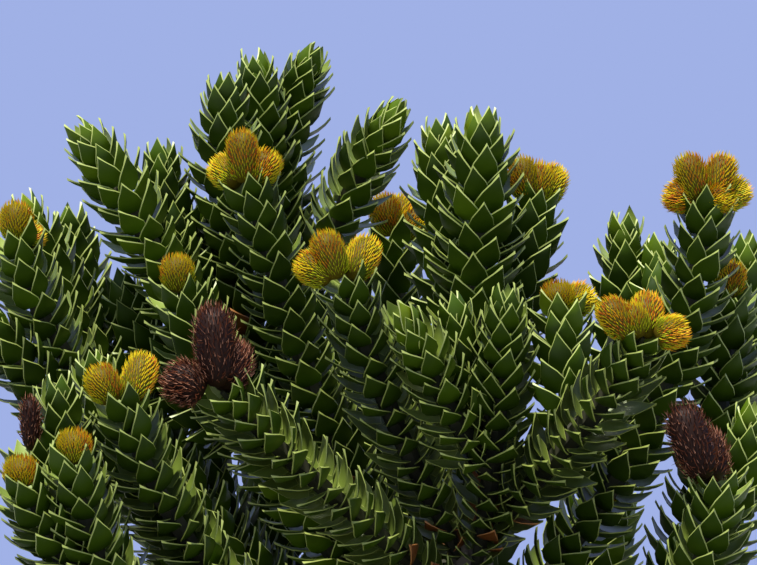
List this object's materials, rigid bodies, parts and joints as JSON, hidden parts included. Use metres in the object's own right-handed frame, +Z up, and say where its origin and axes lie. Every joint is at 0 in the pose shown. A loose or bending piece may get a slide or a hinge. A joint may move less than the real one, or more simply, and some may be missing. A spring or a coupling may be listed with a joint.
{
  "type": "monkey puzzle tree",
  "caption": "Whole rooted monkey puzzle tree: a straight tapering trunk with a flared foot, bare boughs low down and a rounded, open crown of upswept scale-leaved shoots with cones.",
  "frame": {"origin": "middle of the flat cut under the trunk, at ground level", "axes": "+Z up along the trunk, -Y to the front of the crown, +X to the right of it"},
  "size_m": [2.2629, 2.2556, 5.2299],
  "materials": {
    "bark": "rough grey-brown bark",
    "foliage": "leathery dark green leaves, faintly waxy"
  },
  "bodies": {
    "root": {"trunk": "bark", "whorl_2_1_bough": "bark", "whorl_2_2_bough": "bark", "whorl_2_3_bough": "bark", "whorl_2_4_bough": "bark", "whorl_2_5_bough": "bark", "whorl_1_1_bough": "bark", "whorl_1_2_bough": "bark", "whorl_1_3_bough": "bark", "whorl_1_4_bough": "bark", "whorl_1_5_bough": "bark", "leader": "foliage", "front_right_arm": "foliage", "front_centre": "foliage", "front_crest": "foliage", "front_left_arm": "foliage", "left_crest": "foliage", "tall_peak": "foliage", "left_peak": "foliage", "far_left_arm": "foliage", "left_edge": "foliage", "low_left_arm": "foliage", "corner_left_arm": "foliage", "right_crest": "foliage", "right_edge": "foliage", "low_right_arm": "foliage", "back_right_low": "foliage", "back_centre": "foliage", "back_left_low": "foliage", "behind_leader": "foliage", "behind_left": "foliage", "behind_centre": "foliage", "behind_right": "foliage", "behind_far_left": "foliage", "behind_far_right": "foliage", "whorl_5_1_spray": "foliage", "whorl_5_2_spray": "foliage", "whorl_5_3_spray": "foliage", "whorl_5_4_spray": "foliage", "whorl_4_1_spray": "foliage", "whorl_4_2_spray": "foliage", "whorl_4_3_spray": "foliage", "whorl_4_4_spray": "foliage", "whorl_3_1_spray": "foliage", "whorl_3_2_spray": "foliage", "whorl_3_3_spray": "foliage", "whorl_3_4_spray": "foliage", "whorl_2_1_spray": "foliage", "whorl_2_2_spray": "foliage", "whorl_2_3_spray": "foliage", "whorl_2_4_spray": "foliage", "whorl_2_5_spray": "foliage", "whorl_1_1_spray": "foliage", "whorl_1_2_spray": "foliage", "whorl_1_3_spray": "foliage", "whorl_1_4_spray": "foliage", "whorl_1_5_spray": "foliage"}
  },
  "joints": []
}
